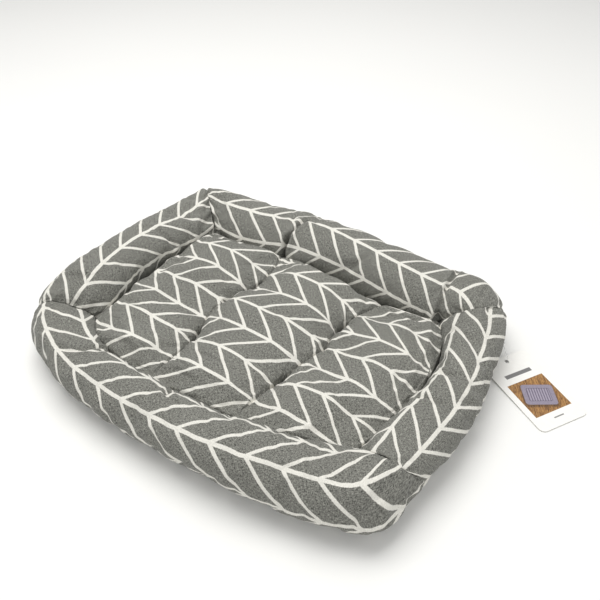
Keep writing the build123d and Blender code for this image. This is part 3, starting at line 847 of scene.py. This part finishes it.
def make_pad():
    sa, sb = 0.34, 0.675
    ws = np.concatenate([clustered(0, sa, 56, 1, 1), clustered(sa, sb, 60, 1, 1)[1:], clustered(sb, 1, 56, 1, 1)[1:]])
    nu, nv = len(ws), 122
    wt = edge_warp(nv, 0.35)
    F, R = inner_edge("front"), inner_edge("right")
    B, Lf = inner_edge("back"), inner_edge("left")
    # corner points of the well, then the four sides between them
    cen = np.array([0.0, -8.0])
    def pull(line, gap=2.2):
        t = np.gradient(line, axis=0); t /= np.linalg.norm(t, axis=1)[:, None]
        n = np.stack([-t[:, 1], t[:, 0]], -1)
        s = np.sign(np.einsum("ij,ij->i", n, cen - line))[:, None]
        return line + n * s * gap
    F, R, B, Lf = (pull(x[3:-3], g) for x, g in ((F, -0.8), (R, -0.6), (B, 2.2), (Lf, 2.2)))
    def crossing(line, quilt):
        L = np.concatenate([[0], np.cumsum(np.hypot(*np.diff(line, axis=0).T))])
        k = np.argmin(np.abs(line[:, 0] - quilt(line[:, 1])))
        return L[k] / L[-1]
    def along(line):
        return np.interp(ws, [0, sa, sb, 1], [0, crossing(line, LINE_A), crossing(line, LINE_B), 1])
    f, b = resample(F, nu, along(F)), resample(B, nu, along(B))
    r, l = resample(R, nv, wt), resample(Lf, nv, wt)
    # make the corners meet
    cor = {"L": (f[0] + l[0]) / 2, "F": (f[-1] + r[0]) / 2, "R": (b[-1] + r[-1]) / 2, "B": (b[0] + l[-1]) / 2}
    def meet(line, p, q, w):
        return line + (p - line[0])[None] * (1 - w)[:, None] ** 6 + (q - line[-1])[None] * w[:, None] ** 6
    f = meet(f, cor["L"], cor["F"], ws); b = meet(b, cor["B"], cor["R"], ws)
    l = meet(l, cor["L"], cor["B"], wt); r = meet(r, cor["F"], cor["R"], wt)
    S, Tt = ws[:, None, None], wt[None, :, None]
    P = (1 - Tt) * f[:, None] + Tt * b[:, None] + (1 - S) * l[None] + S * r[None] \
        - ((1 - S) * (1 - Tt) * cor["L"] + S * (1 - Tt) * cor["F"] + (1 - S) * Tt * cor["B"] + S * Tt * cor["R"])
    # two columns of the grid follow the quilting lines
    ka, kb = 56, 116
    fade = np.sin(np.pi * np.clip(wt / 0.12, 0, 1) / 2) * np.sin(np.pi * np.clip((1 - wt) / 0.12, 0, 1) / 2)
    for k, quilt, hat in ((ka, LINE_A, np.interp(ws, [0, sa, sb], [0, 1, 0])), (kb, LINE_B, np.interp(ws, [sa, sb, 1], [0, 1, 0]))):
        shift = (quilt(P[k, :, 1]) - P[k, :, 0]) * fade
        P[..., 0] += shift[None] * hat[:, None]
    X, Y = P[..., 0].ravel(), P[..., 1].ravel()
    Z0 = pad_height(X, Y)
    # each side turns down to its seam: softly under the front and right bolsters
    drop = np.zeros_like(X)
    for line, rad, zed, steep in ((f, 20.0, 35.0, False), (r, 14.0, 33.5, False), (b, 12.0, 21.0, True), (l, 12.0, 21.0, True)):
        D = np.min(np.hypot(X[:, None] - line[None, :, 0], Y[:, None] - line[None, :, 1]), 1)
        q = np.clip(1 - D / rad, 0, 1)
        drop = np.maximum(drop, (Z0 - zed) * ((1 - np.sqrt(np.clip(1 - q**2.2, 0, 1))) if steep else q * q))
    Z = Z0 - drop - tuft_depth(X, Y) * np.clip(1 - drop / 8, 0, 1)
    zed = 21.0
    i, j = pad_print(X, Y)
    top = np.stack([X, Y, Z], -1)
    N = nu * nv
    idx = np.arange(N).reshape(nu, nv)
    verts, faces, uv, fm = [top], [], [], []
    UVt = np.stack([i, j], -1)
    for a in range(nu - 1):
        for c in range(nv - 1):
            q4 = (idx[a, c], idx[a + 1, c], idx[a + 1, c + 1], idx[a, c + 1])
            faces.append(q4); uv += [tuple(UVt[k]) for k in q4]; fm.append(0)
    # walls
    ringi = np.concatenate([idx[:-1, 0], idx[-1, :-1], idx[:0:-1, -1], idx[0, :0:-1]])
    cen3 = np.array([X.mean(), Y.mean(), 0])
    prev, base = ringi, N
    ring0 = top[ringi]
    uv0 = UVt[ringi]
    outd = ring0[:, :2] - cen3[:2]; outd /= np.linalg.norm(outd, axis=1)[:, None]
    uprev = uv0
    zs = [16.0, 12.0, 8.5, 6.0, 5.0]
    for k, z in enumerate(zs):
        R3 = ring0.copy()
        R3[:, 2] = z
        R3[:, :2] += outd * (-0.6 * (k == 4))
        verts.append(R3)
        cur = base + np.arange(len(ringi)); base += len(ringi)
        ucur = uv0 + outd * np.array([1, -1]) * ((zed - z) / 30.0)
        for a in range(len(ringi)):
            b2 = (a + 1) % len(ringi)
            faces.append((prev[a], cur[a], cur[b2], prev[b2]))
            uv += [tuple(uprev[a]), tuple(ucur[a]), tuple(ucur[b2]), tuple(uprev[b2])]; fm.append(0)
        prev, uprev = cur, ucur
    # lining underneath
    low = top.copy(); low[:, 2] = 4.2 + wave_noise(top, 60, 3) * 0.25
    rim = {int(t): int(p) for t, p in zip(ringi, prev)}
    lid = np.empty(N, int)
    extra = []
    for k in range(N):
        if k in rim:
            lid[k] = rim[k]
        else:
            lid[k] = base; base += 1; extra.append(low[k])
    verts.append(np.array(extra))
    for a in range(nu - 1):
        for c in range(nv - 1):
            q4 = (idx[a, c], idx[a, c + 1], idx[a + 1, c + 1], idx[a + 1, c])
            faces.append(tuple(lid[k] for k in q4)); uv += [tuple(UVt[k]) for k in q4]; fm.append(1)
    V = np.concatenate(verts)
    ob = new_object("quilted_pad", V, faces, uv, [CANVAS, LINING], fm)
    pins = np.zeros(len(V))
    pins[N:] = 1.0
    pins[ringi] = 1.0
    xa, xb = LINE_A(Y), LINE_B(Y)
    dl = np.minimum(np.abs(X - xa), np.abs(X - xb))
    pins[:N] = np.maximum(pins[:N], np.clip(1.6 - dl / 1.0, 0, 1) * 0.9)
    for p in TUFTS:
        pins[:N] = np.maximum(pins[:N], np.clip(1.5 - np.hypot((X - p[0]) / 2.5, (Y - p[1]) / 7.0), 0, 1))
    for p in DIMPLES:
        pins[:N] = np.maximum(pins[:N], np.clip(1.3 - np.hypot(X - p[0], Y - p[1]) / 4.0, 0, 1) * 0.8)
    inflate(ob, pins, 2.4, -0.05, 3.5, frames=15, bend=0.3, stiff=20.0)
    subdivide(ob)
    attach(ob, "bed")
    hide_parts("pad_cover", "pad_fill_left", "pad_fill_middle", "pad_fill_right", "pad_lining")
    return ob, nu, nv, ringi, N


pad, PNU, PNV, PAD_RING, PAD_N = make_pad()


# ------------------------------------------------------------ threads
def stitches(name, spots, length, radius, mat, nodes):
    """Raised stitches: each is a short rounded thread, its two ends in the cloth.
    spots are (point, direction along the seam, outward normal)."""
    verts, faces = [], []
    nr, nl = 6, 7
    for p, d, n in spots:
        p, d, n = (np.asarray(x, float) for x in (p, d, n))
        d = d / np.linalg.norm(d)
        n = n - d * np.dot(n, d); n /= np.linalg.norm(n)
        s = np.cross(d, n)
        b0 = len(verts)
        for a in range(nl):
            t = a / (nl - 1) * 2 - 1
            c = p + d * t * length / 2 + n * (radius * 0.9 * (1 - t * t) - radius * 0.5)
            rr = radius * math.sqrt(max(1 - 0.75 * t**4, 0.1))
            for k in range(nr):
                w = 2 * math.pi * k / nr
                verts.append(c + rr * (math.cos(w) * n + math.sin(w) * s))
        for a in range(nl - 1):
            for k in range(nr):
                k2 = (k + 1) % nr
                faces.append((b0 + a * nr + k, b0 + a * nr + k2, b0 + (a + 1) * nr + k2, b0 + (a + 1) * nr + k))
        faces.append(tuple(b0 + k for k in range(nr))[::-1])
        faces.append(tuple(b0 + (nl - 1) * nr + k for k in range(nr)))
    ob = new_object(name, verts, faces, None, [mat])
    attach(ob, "bed")
    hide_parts(*nodes)
    return ob


PT = coords(pad)[:PAD_N]


def on_pad(x, y):
    k = np.argmin((PT[:, 0] - x) ** 2 + (PT[:, 1] - y) ** 2)
    return PT[k]


spots = []
for line, y0, y1 in ((LINE_A, -108.0, 92.0), (LINE_B, -104.0, 84.0)):
    for y in np.arange(y0, y1, 5.2):
        x = float(line(np.array([y]))[0]); dx = float(line(np.array([y]), 1)[0])
        if min(math.hypot(x - p[0], y - p[1]) for p in TUFTS) < 6:
            continue
        q = on_pad(x, y)
        q2 = on_pad(x + dx * 2.0, y + 2.0); q1 = on_pad(x - dx * 2.0, y - 2.0)
        sl = np.clip((q2[2] - q1[2]) / 4.0, -0.7, 0.7)
        spots.append(((x, y, q[2]), (dx, 1.0, sl), (0, 0, 1)))
stitches("quilting_thread", spots, 3.4, 0.33, THREAD, ["quilting_stitches"])

# ties at the tufts, coloured near-black as painted shade for the deep slits
spots = []
for px, py in TUFTS:
    q = on_pad(px, py)
    for k, off in enumerate((-0.55, 0.0, 0.55)):
        spots.append(((px + off, py, q[2] + 0.1), (0.12 * (k - 1), 1, 0), (0, 0, 1)))
stitches("tuft_tie_slit_shade", spots, 8.6, 0.42, SLIT_SHADE_THREAD, ["tuft_ties"])

spots = []
for side, ring in (("front", 0), ("front", -1), ("back", 0), ("back", -1)):
    T = bolsters[side][1]
    E = T[ring][:-1]; mid = E.mean(0)
    nb = T[1 if ring == 0 else -2][:-1]
    for k in range(0, len(E), 2):
        if E[k][2] < 8:
            continue
        d = E[(k + 1) % len(E)] - E[k - 1]
        inw = (E[k] - nb[k]); inw /= np.linalg.norm(inw)
        n = E[k] - mid
        p = E[k] - n / np.linalg.norm(n) * 1.1 + inw * 0.35
        spots.append((p, d, n))
stitches("mitre_thread", spots, 3.0, 0.3, THREAD, ["mitre_stitches"])

spots = []
ring = PT[PAD_RING]
for k in range(0, len(ring), 3):
    d = ring[(k + 1) % len(ring)] - ring[k - 1]; d[2] = 0
    n = np.array([d[1], -d[0], 0.0])
    if np.linalg.norm(d) < 1e-6:
        continue
    spots.append((np.array([ring[k][0], ring[k][1], 9.0]), d, n))
stitches("pad_seam_thread", spots, 3.4, 0.33, THREAD, ["pad_seam_stitches"])


def base_outline(n):
    """Plan outline of the bottom cloth, n points, mm."""
    ob = nodes["base_panel"]
    P = np.array([(ob.matrix_world @ v.co)[:] for v in ob.data.vertices]) / MM
    P = P[P[:, 2] < 0.3]
    c = 0.5 * (P[:, :2].max(0) + P[:, :2].min(0))
    d = P[:, :2] - c
    th = np.arctan2(d[:, 1], d[:, 0]); r = np.hypot(*d.T)
    k = np.argsort(th); th, r = th[k], r[k]
    keep = np.concatenate([[True], np.diff(th) > 1e-4]); th, r = th[keep], r[keep]
    xy = c + np.stack([r * np.cos(th), r * np.sin(th)], -1)
    xy = np.concatenate([xy, xy[:1]])
    L = np.concatenate([[0], np.cumsum(np.hypot(*np.diff(xy, axis=0).T))])
    s = np.arange(n) / n * L[-1]
    return c, np.stack([np.interp(s, L, xy[:, 0]), np.interp(s, L, xy[:, 1])], -1)


def make_base():
    """Bottom cloth: one thin sheet whose turned edge is sewn up to the bolsters."""
    n, rings = 360, 46
    c, edge = base_outline(n)
    e2 = edge - c
    verts, faces = [], []
    w = 1 - (1 - np.linspace(0.02, 1, rings)) ** 1.25
    per = np.arange(n) / n * 1380.0
    low, up = [], []
    for t in w:
        P = np.zeros((n, 3)); P[:, :2] = c + e2 * t
        inset = (1 - t) * np.hypot(*e2.T)
        # small puckers run in from the sewn edge and fade out
        puck = np.sin(per * 2 * math.pi / 9.0 + 1.3 * np.sin(per / 31.0)) * np.exp(-inset / 9.0) * 0.16
        sag = wave_noise(P, 85.0, 17) * 0.14 + wave_noise(P, 26.0, 19) * 0.05
        hem = 0.28 * np.exp(-((inset - 7.5) / 1.1) ** 2)      # the row of stitches draws it up
        z = 0.36 + (puck + sag) * np.clip(inset / 3.0 + 0.5, 0, 1) + hem
        z = np.clip(z, 0.05, 1.0)
        rise = 0.55 * np.clip(1 - inset / 2.2, 0, 1) ** 2      # the edge curls up into its seam
        a = P.copy(); a[:, 2] = z + rise * 0.6
        b = P.copy(); b[:, 2] = np.maximum(z + 0.75 - rise * 0.15, a[:, 2] + 0.2)
        low.append(a); up.append(b)
    nl = rings * n
    verts = low + up
    for s, flip in ((0, False), (nl, True)):
        for i in range(rings - 1):
            for k in range(n):
                k2 = (k + 1) % n
                q = (s + i * n + k, s + i * n + k2, s + (i + 1) * n + k2, s + (i + 1) * n + k)
                faces.append(q[::-1] if flip else q)
        cen = 2 * nl + (1 if flip else 0)
        for k in range(n):
            q = (cen, s + (k + 1) % n, s + k)
            faces.append(q[::-1] if flip else q)
    for k in range(n):
        k2 = (k + 1) % n
        a, b = (rings - 1) * n + k, (rings - 1) * n + k2
        faces.append((a, b, nl + b, nl + a))
    verts.append(np.array([[c[0], c[1], low[0][:, 2].mean()], [c[0], c[1], up[0][:, 2].mean()]]))
    ob = new_object("base_cloth", np.concatenate(verts), faces, None, [BASE])
    if normals(ob)[: nl].mean(0)[2] > 0:
        ob.data.flip_normals()
    spots = []
    k = 0.0
    inset = 7.5
    step = int(round(n / 230))
    m = 240
    c2, fine = base_outline(m)
    for k in range(m):
        p = fine[k]; d = fine[(k + 1) % m] - fine[k - 1]
        v = (p - c2); v = v / np.hypot(*v)
        q = p - v * inset
        spots.append(((q[0], q[1], 0.52), (d[0], d[1], 0.0), (0, 0, -1)))
    x, y = edge.T
    area = 0.5 * abs(np.dot(x, np.roll(y, -1)) - np.dot(y, np.roll(x, -1))) * 1e-6
    size = edge.max(0) - edge.min(0)
    return ob, spots, area, size * MM


base_cloth, hem_spots, base_area, base_size = make_base()
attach(base_cloth, "bed")
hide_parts("base_panel")
hem = stitches("hem_thread", hem_spots, 3.6, 0.24, HEM, ["base_panel"])


def paint(node, mat):
    me = nodes[node].data
    me.materials.clear()
    me.materials.append(mat)


paint("hang_tag", CARD)
paint("tag_fastener", NYLON)

# ------------------------------------------------------------ floor
fl = new_object("floor", [(-4000, -4000, -0.2), (4000, -4000, -0.2), (4000, 4000, -0.2), (-4000, 4000, -0.2)], [(0, 1, 2, 3)], None, [floor_material()])
